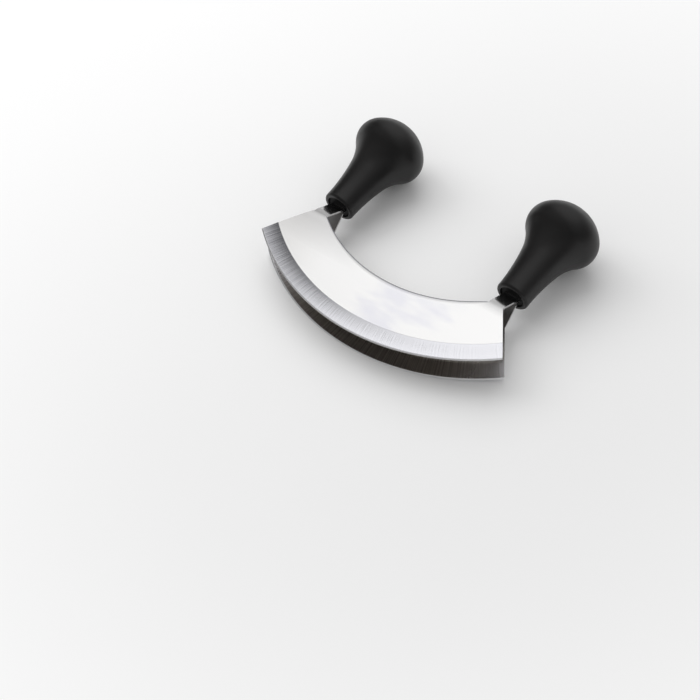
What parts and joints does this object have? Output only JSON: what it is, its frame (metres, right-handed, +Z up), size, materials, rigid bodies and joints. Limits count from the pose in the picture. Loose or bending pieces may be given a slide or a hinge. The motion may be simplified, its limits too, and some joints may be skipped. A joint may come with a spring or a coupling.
{
  "type": "mezzaluna",
  "caption": "Herb rocker with paired arched steel blades whose bent tangs meet in a moulded black knob handle at each end.",
  "frame": {"origin": "middle of the footprint, on the surface that the tool lies on: the lower blade's cutting edge and both knobs' rims touch it", "axes": "+X along the chord from the left handle to the right one, +Y from the belly of the blades towards the knobs, +Z up"},
  "size_m": [0.1744, 0.1442, 0.0467],
  "materials": {
    "blade_steel": "satin, with a ground edge",
    "handle_plastic": "satin moulded",
    "plug_plastic": "satin moulded",
    "rivet_steel": "plain"
  },
  "bodies": {
    "root": {"front_blade": "blade_steel", "rear_blade": "blade_steel", "left_handle": "handle_plastic", "right_handle": "handle_plastic", "left_mouth_plug": "plug_plastic", "right_mouth_plug": "plug_plastic", "left_tang_rivet": "rivet_steel", "right_tang_rivet": "rivet_steel"}
  },
  "joints": []
}
